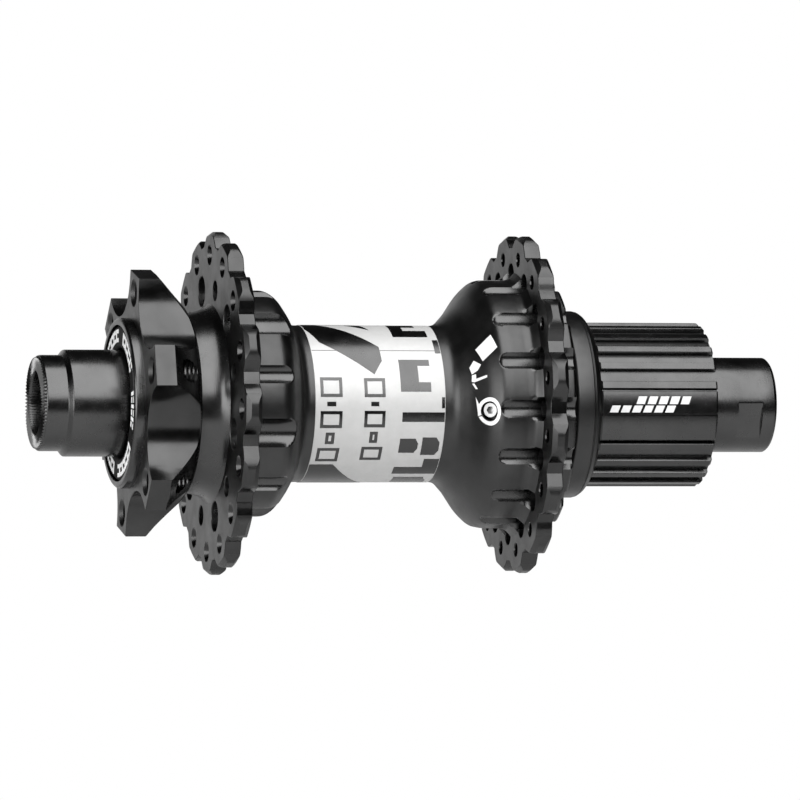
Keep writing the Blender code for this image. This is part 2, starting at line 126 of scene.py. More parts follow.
# Spoke flanges.
FLANGE_TIP = 33.48
FLANGE_CHAMFER_START = 32.7
SCALLOP_CENTRE = 36.11
SCALLOP_RADIUS = 4.91
TEETH = 16
TOOTH_FLAT = 2.2
TOOTH_SHOULDER = 5.6
TOOTH_SHOULDER_DROP = 0.95
SPOKE_CIRCLE = 29.0
SPOKE_HOLE = 1.3
SPOKE_SINK = 2.1
DISC_FLANGE = (36.05, 39.3)
DISC_FLANGE_PHASE = 2.0
DISC_FLANGE_INSIDE = 18.2
DRIVE_FLANGE = (-24.85, -21.6)
DRIVE_FLANGE_PHASE = 12.4
DRIVE_FLANGE_INSIDE = 21.0

# Brake disc mount.
TABS = 6
MOUNT_FACE_Y = 55.3
TAB_PHASE = 13.4
TAB_PITCH = 60.0
TAB_TIP = 25.75
TAB_TIP_HALF_WIDTH = 4.05
TAB_ARC_CENTRE = 28.2
TAB_ARC_RADIUS = 10.05
TAB_BACK = [(16.0, 43.6), (19.4, 45.3), (25.75, 51.1)]
TAB_BACK_END_Y = 52.0
BOLT_CIRCLE = 22.0
BOLT_RADIUS = 2.1
THREAD_PITCH = 0.8

# Grease port in the drive side's cone: (radius, y) of its mouth, and how far it leans towards the
# disc side.
PORT_ANGLE = 93.0
PORT_SEAT = (22.0, -11.65)
PORT_TILT = math.radians(40.0)
PORT_RADIUS = 1.85
PORT_CONE_RUN = 1.52

# Freehub splines.
SPLINE_TIP = 16.17
SPLINE_ROOT = 15.15
FIRST_RIDGE = 121.0
RIDGES = 23
RIDGE_PITCH = 14.318
LAND = (80.6, 115.4)
LAND_SLOT = (95.7, 98.0)
SPLINE_START_Y = -36.4
FREEHUB_END_Y = -59.8
CIRCLIP_GAP = 40.0
CIRCLIP_INSIDE = 11.35
CIRCLIP_OUTSIDE = [(12.56, -58.92), (12.6, -58.86), (12.6, -58.32), (12.56, -58.28)]

# Pawl pockets in the freehub's carrier.
PAWLS = 6
PAWL_PHASE = 30.0
PAWL_PIVOT_RADIUS = 13.9

CAP_RADIUS = 9.35
CAP_TEETH = 76
FLAT_ANGLES = (111.0, 291.0)
FLAT_DISTANCE = 8.6
FLAT_Y = (-71.0, -66.0)

# Print: how far it stands proud of its surface and how thick it is, and the band round the dust cover.
PRINT_LIFT = 0.05
PRINT_DEPTH = 0.12
COVER_PRINT_RADII = (11.9, 14.4)
COVER_PRINT_Y = (57.24, 57.16)

# Studio, in metres and watts.
FLOOR_HALF_SIDE = 1.3
FLOOR_MIDDLE = (0.75, 0.0, -0.2)
ROOM_GREY = 0.02
CAMERA_TURN = 14.3
CAMERA_ROLL = 0.0028
CAMERA_AIM_RIGHT = -0.00061
CAMERA_AIM_UP = 0.00078
CAMERA_DISTANCE = 1.6
CAMERA_LENS = 366.7


# ------------------------------------------------------------------ shape helpers


def row(radius, y, degrees):
    """Points at these angles. radius and y are one number, or one for each angle."""
    angle = np.radians(degrees)
    radius = np.broadcast_to(radius, angle.shape)
    y = np.broadcast_to(y, angle.shape)
    return np.stack([-radius * np.sin(angle), y, radius * np.cos(angle)], axis=1)


def even_angles(count):
    return np.arange(count) * 360.0 / count


def rounded(corners, reach=0.15, steps=3):
    """A closed outline with each corner eased. A corner's third number is its own reach."""
    points = []
    for i, corner in enumerate(corners):
        here = Vector(corner[:2])
        before = Vector(corners[i - 1][:2]) - here
        after = Vector(corners[(i + 1) % len(corners)][:2]) - here
        ease = corner[2] if len(corner) > 2 else reach
        ease = min(ease, 0.48 * before.length, 0.48 * after.length)
        start = here + before.normalized() * ease
        end = here + after.normalized() * ease
        for step in range(steps + 1):
            t = step / steps
            spot = (1 - t) ** 2 * start + 2 * t * (1 - t) * here + t**2 * end
            points.append((spot.x, spot.y))
    return points


def refined(outline, longest, fine=()):
    """Adds points, so that no stretch is longer than this, or than a quarter of it in a fine zone."""
    points = []
    for i, here in enumerate(outline):
        there = outline[(i + 1) % len(outline)]
        in_fine_zone = any(low < here[1] < high and here[0] > TUBE_RADIUS for low, high in fine)
        parts = max(1, math.ceil(math.dist(here, there) / (longest / 4 if in_fine_zone else longest)))
        for part in range(parts):
            t = part / parts
            points.append((here[0] + (there[0] - here[0]) * t, here[1] + (there[1] - here[1]) * t))
    return points


def groove_wall(degrees, middle, centre, radius):
    """Distance from the axis to the near wall of a round groove that runs along the axis."""
    offset = np.radians((degrees - middle + 180.0) % 360.0 - 180.0)
    room = radius**2 - (centre * np.sin(offset)) ** 2
    wall = centre * np.cos(offset) - np.sqrt(np.maximum(room, 0.0))
    return np.where((room > 0) & (np.cos(offset) > 0), wall, FAR_OUT)


def groove_edge(land, centre, radius):
    """Half the angle that a round groove spans on a drum."""
    return math.degrees(math.acos((land**2 + centre**2 - radius**2) / (2 * land * centre)))


def soft_min(a, b, width):
    """The lower of two values, eased where they cross."""
    blend = np.clip(0.5 + 0.5 * (b - a) / width, 0.0, 1.0)
    return b + (a - b) * blend - width * blend * (1 - blend)


def dense_angles(middles, halves, inside, outside):
    """Angles round the axis, with `inside` of them across each groove and `outside` on each land."""
    angles = []
    for i, middle in enumerate(middles):
        after = middles[(i + 1) % len(middles)] + (360.0 if i + 1 == len(middles) else 0.0)
        first = middle - halves[i]
        last = middle + halves[i]
        angles.extend(np.linspace(first, last, inside))
        end = after - halves[(i + 1) % len(middles)]
        angles.extend(np.linspace(last, end, outside + 2)[1:-1])
    return np.array(angles)


def stored(name, bm, sharp=32.0):
    """Turns a closed bmesh in millimetres into a named object in metres."""
    bmesh.ops.remove_doubles(bm, verts=bm.verts, dist=0.0004)
    bmesh.ops.dissolve_degenerate(bm, edges=bm.edges, dist=0.0002)
    bmesh.ops.recalc_face_normals(bm, faces=bm.faces)
    bmesh.ops.scale(bm, vec=(MM, MM, MM), verts=bm.verts)
    mesh = bpy.data.meshes.new(name)
    bm.to_mesh(mesh)
    bm.free()
    mesh.shade_smooth()
    mesh.set_sharp_from_angle(angle=math.radians(sharp))
    piece = bpy.data.objects.new(name, mesh)
    bpy.context.scene.collection.objects.link(piece)
    return piece


def ring_bmesh(rows):
    """Joins rows of points round the axis into a closed ring: the last row meets the first."""
    bm = bmesh.new()
    loops = []
    for points in rows:
        loops.append([bm.verts.new(point) for point in points])
    count = len(loops[0])
    for i, loop in enumerate(loops):
        after = loops[(i + 1) % len(loops)]
        for j in range(count):
            k = (j + 1) % count
            bm.faces.new((loop[j], loop[k], after[k], after[j]))
    return bm


def ring_mesh(name, rows, sharp=32.0):
    return stored(name, ring_bmesh(rows), sharp)


def turned(name, corners, reach=0.12, steps=TURNED_STEPS, sharp=32.0):
    """A turned ring with the corners of its section eased."""
    angles = even_angles(steps)
    rows = [row(radius, y, angles) for radius, y in rounded(corners, reach)]
    return ring_mesh(name, rows, sharp)


def across_axis(radius, degrees):
    """(x, z) at this radius and angle."""
    angle = math.radians(degrees)
    return -radius * math.sin(angle), radius * math.cos(angle)


def add_prism(bm, outline, y0, y1):
    """A prism along Y from an outline of (x, z)."""
    low = [bm.verts.new((x, y0, z)) for x, z in outline]
    high = [bm.verts.new((x, y1, z)) for x, z in outline]
    bm.faces.new(low)
    bm.faces.new(list(reversed(high)))
    for i in range(len(outline)):
        k = (i + 1) % len(outline)
        bm.faces.new((low[k], low[i], high[i], high[k]))


def add_spindle(bm, x, z, profile, steps=24):
    """A solid turned about a line along Y through (x, z), from (radius, y) points."""
    loops = []
    for radius, y in profile:
        loop = []
        for i in range(steps):
            angle = 2 * math.pi * i / steps
            loop.append(bm.verts.new((x + radius * math.cos(angle), y, z + radius * math.sin(angle))))
        loops.append(loop)
    for low, high in zip(loops, loops[1:]):
        for i in range(steps):
            k = (i + 1) % steps
            bm.faces.new((low[i], low[k], high[k], high[i]))
    bm.faces.new(loops[0])
    bm.faces.new(list(reversed(loops[-1])))


def cut(piece, cutter, sharp=32.0):
    """Removes the cutter's solid from the piece, and the cutter with it."""
    modifier = piece.modifiers.new("cut", "BOOLEAN")
    modifier.object = cutter
    modifier.operation = "DIFFERENCE"
    modifier.solver = "EXACT"
    graph = bpy.context.evaluated_depsgraph_get()
    mesh = bpy.data.meshes.new_from_object(piece.evaluated_get(graph))
    piece.modifiers.clear()
    old = piece.data
    piece.data = mesh
    mesh.name = old.name + "_cut"
    mesh.shade_smooth()
    mesh.set_sharp_from_angle(angle=math.radians(sharp))
    bpy.data.objects.remove(cutter)


def dressed(piece, material, body):
    piece.data.materials.clear()
    piece.data.materials.append(material)
    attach(piece, body)
    return piece


def painted(piece, materials, choose):
    """Adds materials to a dressed piece. choose gives each face its slot.

    It gets the radius, y and angle of the face's middle, and how far the face looks along Y.
    """
    for material in materials:
        piece.data.materials.append(material)
    for face in piece.data.polygons:
        x, y, z = face.center / MM
        angle = math.degrees(math.atan2(-x, z))
        face.material_index = choose(math.hypot(x, z), y, angle, abs(face.normal.y))


def off_middle(angle, phase, pitch):
    """How far an angle is from the nearest of the middles phase, phase + pitch and so on."""
    return abs((angle - phase + pitch / 2) % pitch - pitch / 2)


# ------------------------------------------------------------------ materials


class Nodes:
    """A material's node tree, with short calls that add and link nodes."""

    def __init__(self, name):
        self.material = bpy.data.materials.new(name)
        self.material.use_nodes = True
        self.tree = self.material.node_tree
        self.shader = self.tree.nodes["Principled BSDF"]
        self.place = self.add("ShaderNodeTexCoord").outputs["Object"]

    def add(self, kind, **settings):
        node = self.tree.nodes.new(kind)
        for name, value in settings.items():
            setattr(node, name, value)
        return node

    def link(self, source, target):
        self.tree.links.new(source, target)

    def maths(self, operation, a, b=None):
        node = self.add("ShaderNodeMath", operation=operation)
        for socket, value in zip(node.inputs, (a, b)):
            if isinstance(value, (int, float)):
                socket.default_value = value
            elif value is not None:
                self.link(value, socket)
        return node.outputs[0]

    def noise(self, scale, detail=2.0, vector=None, rough=0.5):
        node = self.add("ShaderNodeTexNoise")
        node.inputs["Scale"].default_value = scale
        node.inputs["Detail"].default_value = detail
        node.inputs["Roughness"].default_value = rough
        self.link(vector or self.place, node.inputs["Vector"])
        return node.outputs["Fac"]

    def spread(self, value, low, high, start=0.3, end=0.7):
        node = self.add("ShaderNodeMapRange")
        node.inputs["From Min"].default_value = start
        node.inputs["From Max"].default_value = end
        node.inputs["To Min"].default_value = low
        node.inputs["To Max"].default_value = high
        self.link(value, node.inputs["Value"])
        return node.outputs["Result"]

    def shades(self, value, dark, light, start=0.3, end=0.7):
        node = self.add("ShaderNodeValToRGB")
        node.color_ramp.elements[0].position = start
        node.color_ramp.elements[0].color = (*dark, 1.0)
        node.color_ramp.elements[1].position = end
        node.color_ramp.elements[1].color = (*light, 1.0)
        self.link(value, node.inputs["Fac"])
        self.link(node.outputs["Color"], self.shader.inputs["Base Color"])

    def turning(self, scale):
        """Fine noise that is the same all the way round the axis, as a lathe leaves it."""
        parts = self.add("ShaderNodeSeparateXYZ")
        self.link(self.place, parts.inputs[0])
        across = self.maths("MULTIPLY", parts.outputs["X"], parts.outputs["X"])
        upright = self.maths("MULTIPLY", parts.outputs["Z"], parts.outputs["Z"])
        radius = self.maths("SQRT", self.maths("ADD", across, upright))
        joined = self.add("ShaderNodeCombineXYZ")
        self.link(radius, joined.inputs["X"])
        self.link(parts.outputs["Y"], joined.inputs["Y"])
        return self.noise(scale, 3.0, joined.outputs[0])

    def bump(self, height, depth, strength=1.0):
        node = self.add("ShaderNodeBump")
        node.inputs["Distance"].default_value = depth
        node.inputs["Strength"].default_value = strength
        self.link(height, node.inputs["Height"])
        self.link(node.outputs[0], self.shader.inputs["Normal"])

    def set(self, **values):
        for name, value in values.items():
            self.shader.inputs[name.replace("_", " ")].default_value = value


def metal(name, dark, light, roughness, turning=0.0, grain=0.0, metallic=1.0):
    """Metal with patchy tone and gloss. turning is the depth of its lathe lines, grain of its skin."""
    nodes = Nodes(name)
    nodes.set(Metallic=metallic)
    nodes.shades(nodes.noise(120.0, 3.0), (dark,) * 3, (light,) * 3)
    smears = nodes.noise(260.0, 4.0, rough=0.65)
    nodes.link(nodes.spread(smears, *roughness), nodes.shader.inputs["Roughness"])
    lines = nodes.maths("MULTIPLY", nodes.turning(5200.0), turning)
    skin = nodes.maths("MULTIPLY", nodes.noise(7500.0, 2.0), grain)
    nodes.bump(nodes.maths("ADD", lines, skin), 0.00001)
    return nodes.material


def black_gloss():
    return metal("black_anodised_turned", 0.052, 0.062, (0.20, 0.30), turning=0.9, grain=0.2)


def black_blasted():
    return metal("black_anodised_blasted", 0.040, 0.052, (0.30, 0.40), turning=0.3, grain=1.6)


def black_bright():
    return metal("black_anodised_milled", 0.036, 0.048, (0.18, 0.25), turning=0.5, grain=0.15)


def knurled_black():
    return metal("black_anodised_knurled", 0.10, 0.16, (0.22, 0.34), turning=0.5, grain=1.5)


def matt_black():
    nodes = Nodes("black_anodised_matt")
    nodes.set(Specular_IOR_Level=0.04)
    nodes.shades(nodes.noise(260.0, 3.0), (0.008, 0.008, 0.008), (0.014, 0.014, 0.014))
    nodes.link(nodes.spread(nodes.noise(700.0, 3.0), 0.5, 0.66), nodes.shader.inputs["Roughness"])
    nodes.bump(nodes.turning(5200.0), 0.000006)
    return nodes.material


def plain_aluminium():
    return metal("turned_aluminium", 0.55, 0.68, (0.22, 0.34), turning=1.2, grain=0.3)


def bearing_steel():
    return metal("ground_bearing_steel", 0.48, 0.58, (0.10, 0.20), turning=0.7, grain=0.1)


def tool_steel():
    return metal("hardened_tool_steel", 0.22, 0.32, (0.26, 0.40), turning=0.3, grain=0.8)


def spring_steel():
    return metal("spring_steel", 0.30, 0.40, (0.20, 0.30), turning=0.2, grain=0.3)


def rubber():
    nodes = Nodes("black_rubber_moulded")
    nodes.set(Specular_IOR_Level=0.35)
    nodes.shades(nodes.noise(300.0, 4.0), (0.011, 0.011, 0.012), (0.022, 0.022, 0.023))
    nodes.link(nodes.spread(nodes.noise(900.0, 3.0), 0.46, 0.66), nodes.shader.inputs["Roughness"])
    nodes.bump(nodes.noise(5200.0, 2.0), 0.00001)
    return nodes.material


def ink(name, dark, light, roughness):
    """Screen print, with faint mottling."""
    nodes = Nodes(name)
    nodes.shades(nodes.noise(700.0, 4.0, rough=0.7), dark, light)
    nodes.link(nodes.spread(nodes.noise(2200.0, 3.0), *roughness), nodes.shader.inputs["Roughness"])
    nodes.bump(nodes.noise(5600.0, 2.0), 0.000004)
    return nodes.material


def silver_wrap():
    nodes = Nodes("silver_printed_wrap")
    nodes.set(Metallic=0.15)
    nodes.shades(nodes.noise(420.0, 5.0, rough=0.7), (0.40, 0.40, 0.397), (0.44, 0.44, 0.437))
    nodes.link(nodes.spread(nodes.noise(1500.0, 4.0), 0.40, 0.52), nodes.shader.inputs["Roughness"])
    nodes.bump(nodes.noise(6000.0, 2.0), 0.000005)
    return nodes.material


BLACK = black_gloss()
BLASTED = black_blasted()
MILLED = black_bright()
KNURLED = knurled_black()
MATT = matt_black()
ALUMINIUM = plain_aluminium()
STEEL = bearing_steel()
TOOL = tool_steel()
SPRING = spring_steel()
RUBBER = rubber()
WHITE_INK = ink("white_print", (0.56, 0.56, 0.56), (0.62, 0.62, 0.62), (0.42, 0.55))
# The dust cover's print is the same white ink as the rest. It is made brighter here as painted light, to
# make up for the little lamp light that reaches the cover's face.
PAINTED_BRIGHTER_COVER_INK = ink("white_print_painted_brighter", (0.78, 0.78, 0.78), (0.86, 0.86, 0.86), (0.5, 0.6))
SILVER = silver_wrap()


# ------------------------------------------------------------------ hub shell


def disc_groove_middles():
    """Middle angles of the disc drum's grooves and their radii: wide and narrow take turns."""
    grooves = []
    for k in range(TABS):
        grooves.append((-15.0 + 60.0 * k, WIDE_GROOVE))
        grooves.append((15.0 + 60.0 * k, NARROW_GROOVE))
    return grooves


def drive_groove_middles():
    pitch = 360.0 / DRIVE_GROOVE_COUNT
    return [DRIVE_GROOVE_PHASE + pitch * k for k in range(DRIVE_GROOVE_COUNT)]


def disc_side_angles():
    grooves = disc_groove_middles()
    halves = [groove_edge(DISC_DRUM, DISC_GROOVE_CENTRE, radius) for _, radius in grooves]
    return dense_angles([middle for middle, _ in grooves], halves, 25, 15)


def drive_side_angles():
    middles = drive_groove_middles()
    half = groove_edge(DRIVE_DRUM, DRIVE_GROOVE_CENTRE, DRIVE_GROOVE)
    return dense_angles(middles, [half] * len(middles), 19, 11) - 22.5


def shell_core():
    """The turned body of the shell with the grooves of both drums."""
    outline = refined(rounded(SHELL_OUTSIDE + SHELL_BORE, steps=4), 1.2, FINE_ZONES)
    disc_angles = disc_side_angles()
    drive_angles = drive_side_angles()
    rows = []
    for radius, y in outline:
        share = min(max((y - 2.0) / 14.0, 0.0), 1.0)
        angles = disc_angles * share + drive_angles * (1 - share)
        radii = np.full(RING_SAMPLES, radius)
        outer = radius > 15.4 and not (radius == 19.5 and y < 0)
        if outer and DISC_GROOVES_Y[0] < y < DISC_GROOVES_Y[1]:
            for middle, groove in disc_groove_middles():
                wall = groove_wall(angles, middle, DISC_GROOVE_CENTRE, groove)
                radii = soft_min(radii, wall, 0.12)
        past_end = max(0.0, y - DRIVE_GROOVE_BALL_Y)
        if outer and radius > 20.0 and past_end < DRIVE_GROOVE and y < 0:
            reach = math.sqrt(DRIVE_GROOVE**2 - past_end**2)
            for middle in drive_groove_middles():
                wall = groove_wall(angles, middle, DRIVE_GROOVE_CENTRE, reach)
                radii = soft_min(radii, wall, 0.12)
        rows.append(row(radii, y, angles))
    return ring_mesh("shell_core", rows, sharp=38.0)


def flange_plate(name, inside, faces, phase, holes, outer_side):
    """A toothed spoke flange, with scallops between the teeth and countersinks on its outer side."""
    pitch = 360.0 / TEETH
    middles = [phase + pitch * k for k in range(TEETH)]
    angles = dense_angles(middles, [TOOTH_SHOULDER] * TEETH, 15, 15)
    from_tooth = np.abs((angles - phase + pitch / 2) % pitch - pitch / 2)
    past_flat = np.clip((from_tooth - TOOTH_FLAT) / (TOOTH_SHOULDER - TOOTH_FLAT), 0.0, 2.0)
    edge = FLANGE_TIP - TOOTH_SHOULDER_DROP * past_flat**1.5
    for middle in middles:
        wall = groove_wall(angles, middle + pitch / 2, SCALLOP_CENTRE, SCALLOP_RADIUS)
        edge = soft_min(edge, wall, 0.1)
    shoulder = np.minimum(edge, FLANGE_CHAMFER_START)
    centre = sum(faces) / 2
    half = (faces[1] - faces[0]) / 2
    rim_half = half - np.maximum(edge - FLANGE_CHAMFER_START, 0.0)
    section = [
        (inside, half),
        (24.0, half),
        (28.0, half),
        (shoulder - 0.14, half),
        (shoulder - 0.03, half - 0.05),
        (edge - 0.10, rim_half - 0.02),
        (edge, rim_half - 0.14),
    ]
    rows = []
    for radius, offset in section:
        rows.append(row(radius, centre + offset, angles))
    for radius, offset in reversed(section):
        rows.append(row(radius, centre - offset, angles))
    plate = ring_mesh(name, rows)
    cutter = bmesh.new()
    for middle in middles:
        x, z = across_axis(SPOKE_CIRCLE, middle)
        profile = [
            (SPOKE_HOLE + 0.4, centre - outer_side * (half + 0.2)),
            (SPOKE_HOLE, centre - outer_side * (half - 0.2)),
            (SPOKE_HOLE, centre + outer_side * (half + SPOKE_HOLE - SPOKE_SINK)),
            (SPOKE_SINK + 0.2, centre + outer_side * (half + 0.2)),
        ]
        add_spindle(cutter, x, z, profile if outer_side > 0 else profile[::-1], 28)
    for middle, circle, radius in holes:
        x, z = across_axis(circle, middle)
        profile = [
            (radius + 0.35, centre - half - 0.2),
            (radius, centre - half + 0.15),
            (radius, centre + half - 0.15),
            (radius + 0.35, centre + half + 0.2),
        ]
        add_spindle(cutter, x, z, profile, 48)
    cut(plate, stored(name + "_cutter", cutter), sharp=22.0)
    return plate


def disc_mount():
    """Six tabs for the brake disc's bolts, with arcs between them and a sloping back."""
    middles = [TAB_PHASE + TAB_PITCH * k for k in range(TABS)]
    tip_half = math.degrees(math.atan(TAB_TIP_HALF_WIDTH / TAB_TIP))
    angles = dense_angles(middles, [tip_half] * TABS, 19, 61)
    nearest = np.radians((angles - TAB_PHASE + TAB_PITCH / 2) % TAB_PITCH - TAB_PITCH / 2)
    edge = TAB_TIP / np.cos(nearest)
    for middle in middles:
        wall = groove_wall(angles, middle + TAB_PITCH / 2, TAB_ARC_CENTRE, TAB_ARC_RADIUS)
        edge = soft_min(edge, wall, 0.12)
    back_radii = [radius for radius, _ in TAB_BACK]
    back_ys = [y for _, y in TAB_BACK]
    rows = [row(15.9, MOUNT_FACE_Y, angles), row(17.4, MOUNT_FACE_Y, angles)]
    rows.append(row(edge - 0.16, MOUNT_FACE_Y, angles))
    rows.append(row(edge - 0.04, MOUNT_FACE_Y - 0.04, angles))
    rows.append(row(edge, MOUNT_FACE_Y - 0.16, angles))
    back_edge = np.interp(edge, back_radii, back_ys)
    rows.append(row(edge, back_edge + 0.18, angles))
    rows.append(row(edge - 0.12, np.interp(edge - 0.12, back_radii, back_ys), angles))
    for limit in (24.0, 22.0, 20.4, 19.4, 18.4, 17.6):
        radius = np.minimum(edge - 0.14, limit)
        rows.append(row(radius, np.interp(radius, back_radii, back_ys), angles))
    rows.append(row(15.9, TAB_BACK[0][1], angles))
    mount = ring_mesh("disc_mount", rows)
    cutter = bmesh.new()
    for middle in middles:
        x, z = across_axis(BOLT_CIRCLE, middle)
        profile = [(BOLT_RADIUS, 43.0)]
        y = 44.0
        while y < MOUNT_FACE_Y - 1.2:
            profile.append((BOLT_RADIUS, y))
            profile.append((BOLT_RADIUS + 0.36, y + THREAD_PITCH / 2))
            y += THREAD_PITCH
        profile.append((BOLT_RADIUS, MOUNT_FACE_Y - 0.7))
        profile.append((BOLT_RADIUS + 0.9, MOUNT_FACE_Y + 0.2))
        add_spindle(cutter, x, z, profile, 32)
    cut(mount, stored("bolt_cutter", cutter), sharp=13.0)
    return mount


def core_finish(radius, y, angle, slope):
    """A blasted skin outside, and a turned gloss in the drums' grooves, on the neck and in the bore."""
    if not BOSS_END_Y < y < NECK_END_Y or radius < SHELL_SKIN_RADIUS:
        return 0
    outside = shell_radius(y)
    return 1 if outside - 0.06 < radius < outside + 0.2 else 0


def flange_finish(phase):
    """Bright scallops and countersinks, and blasted faces and teeth."""
    pitch = 360.0 / TEETH

    def choose(radius, y, angle, slope):
        off_tooth = off_middle(angle, phase, pitch)
        to_hole = math.dist((radius, 0.0), (
            SPOKE_CIRCLE * math.cos(math.radians(off_tooth)),
            SPOKE_CIRCLE * math.sin(math.radians(off_tooth)),
        ))
        if to_hole < SPOKE_SINK + 0.1 and slope < 0.95:
            return 1
        return 1 if slope < 0.3 and radius > 30.0 and off_tooth > TOOTH_SHOULDER else 0

    return choose


def mount_finish(radius, y, angle, slope):
    """Bright arcs between the tabs, and a turned gloss on the sloping back."""
    if slope < 0.3:
        tip_half = math.degrees(math.atan(TAB_TIP_HALF_WIDTH / TAB_TIP))
        return 1 if radius > 17.0 and off_middle(angle, TAB_PHASE, TAB_PITCH) > tip_half + 0.3 else 0
    return 2 if slope < 0.97 and y < TAB_BACK_END_Y else 0


def drilled_at_port(profile, steps):
    """A turned solid whose Y axis is set on the grease port's axis, with y = 0 at the port's mouth."""
    bm = bmesh.new()
    add_spindle(bm, 0.0, 0.0, profile, steps)
    outward = Vector(row(math.cos(PORT_TILT), math.sin(PORT_TILT), np.array([PORT_ANGLE]))[0])
    seat = Vector(row(PORT_SEAT[0], PORT_SEAT[1], np.array([PORT_ANGLE]))[0])
    turn = Vector((0.0, 1.0, 0.0)).rotation_difference(outward).to_matrix().to_4x4()
    bmesh.ops.transform(bm, matrix=Matrix.Translation(seat) @ turn, verts=bm.verts)
    return bm


def grease_port_screw():
    """Socket screw that sits a little below the mouth of its hole."""
    profile = [(1.5, -2.6), (1.5, -0.62), (1.38, -0.48)]
    screw = stored("grease_port_socket_screw", drilled_at_port(profile, 40))
    cut(screw, stored("socket_cutter", drilled_at_port([(0.8, -1.6), (0.8, 0.2)], 6)))
    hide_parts("grease_port_screw")
    dressed(screw, TOOL, "hub_shell")


def hub_shell():
    """The core, its two spoke flanges and the brake disc mount, which overlap as one shell."""
    core = shell_core()
    profile = [(PORT_RADIUS, -3.0), (PORT_RADIUS, -0.5), (PORT_RADIUS + 0.6, 0.6)]
    cut(core, stored("port_cutter", drilled_at_port(profile, 48)), sharp=38.0)
    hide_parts("hub_shell")
    dressed(core, BLACK, "hub_shell")
    painted(core, [BLASTED], core_finish)
    disc_holes = [(middle, DISC_GROOVE_CENTRE, radius) for middle, radius in disc_groove_middles()]
    disc_plate = flange_plate(
        "disc_flange", DISC_FLANGE_INSIDE, DISC_FLANGE, DISC_FLANGE_PHASE, disc_holes, 1
    )
    dressed(disc_plate, BLASTED, "hub_shell")
    painted(disc_plate, [MILLED], flange_finish(DISC_FLANGE_PHASE))
    drive_holes = [(middle, DRIVE_GROOVE_CENTRE, DRIVE_GROOVE) for middle in drive_groove_middles()]
    drive_plate = flange_plate(
        "drive_flange", DRIVE_FLANGE_INSIDE, DRIVE_FLANGE, DRIVE_FLANGE_PHASE, drive_holes, -1
    )
    dressed(drive_plate, BLASTED, "hub_shell")
    painted(drive_plate, [MILLED], flange_finish(DRIVE_FLANGE_PHASE))
    mount = disc_mount()
    dressed(mount, BLASTED, "hub_shell")
    painted(mount, [MILLED, BLACK], mount_finish)


# ------------------------------------------------------------------ freehub


def spline_radii(angles):
    """Radius of the splines at each angle: narrow ridges, and a wide land with a slot along it."""
    knots = []
    for k in range(RIDGES):
        middle = FIRST_RIDGE + RIDGE_PITCH * k
        knots += [(middle - 3.2, SPLINE_ROOT), (middle - 2.6, SPLINE_TIP - 0.1), (middle - 2.3, SPLINE_TIP)]
        knots += [(middle + 2.3, SPLINE_TIP), (middle + 2.6, SPLINE_TIP - 0.1), (middle + 3.2, SPLINE_ROOT)]
    first, last = LAND
    for base in (0.0, 360.0):
        knots += [(base + first - 0.7, SPLINE_ROOT), (base + first - 0.1, SPLINE_TIP - 0.1)]
        knots += [(base + first + 0.2, SPLINE_TIP), (base + LAND_SLOT[0], SPLINE_TIP)]
        knots += [(base + edge, SPLINE_TIP - 0.4) for edge in (LAND_SLOT[0] + 0.5, LAND_SLOT[1] - 0.5)]
        knots += [(base + LAND_SLOT[1], SPLINE_TIP), (base + last - 0.2, SPLINE_TIP)]
        knots += [(base + last + 0.1, SPLINE_TIP - 0.1), (base + last + 0.7, SPLINE_ROOT)]
    knots.sort()
    places = [place for place, _ in knots]
    radii = [radius for _, radius in knots]
    return np.interp((angles - 79.0) % 360.0 + 79.0, places, radii)


def spline_angles():
    """Angles at every edge of the splines, with a few between."""
    angles = []
    for k in range(RIDGES):
        middle = FIRST_RIDGE + RIDGE_PITCH * k
        angles += [middle + step for step in (-5.2, -3.2, -2.6, -2.3, 0.0, 2.3, 2.6, 3.2, 5.2, 7.1)]
    first, last = LAND
    angles += [first - 0.7, first - 0.1, first + 0.2]
    angles += list(np.linspace(first + 2.0, LAND_SLOT[0] - 1.2, 8))
    angles += [LAND_SLOT[0], LAND_SLOT[0] + 0.5, LAND_SLOT[1] - 0.5, LAND_SLOT[1]]
    angles += list(np.linspace(LAND_SLOT[1] + 1.2, last - 1.5, 8))
    angles += [last - 0.2, last + 0.1, last + 0.7]
    return np.array(sorted({round(angle % 360.0, 4) for angle in angles}))


def local_outline(points, middle):
    """Turns (sideways, outward) points of a pawl's own frame into (x, z)."""
    angle = math.radians(middle)
    outward = (-math.sin(angle), math.cos(angle))
    along = (math.cos(angle), math.sin(angle))
    placed = []
    for sideways, out in points:
        x = outward[0] * out + along[0] * sideways
        z = outward[1] * out + along[1] * sideways
        placed.append((x, z))
    return placed


def pocket_outline():
    """Seat of a pawl and of its spring in the carrier, as (sideways, outward)."""
    points = []
    for step in range(13):
        angle = math.radians(90.0 + 210.0 * step / 12)
        points.append((1.65 * math.cos(angle), PAWL_PIVOT_RADIUS + 1.65 * math.sin(angle)))
    return points + [(3.0, 12.45), (6.9, 12.9), (6.9, 19.0), (0.0, 19.0)]


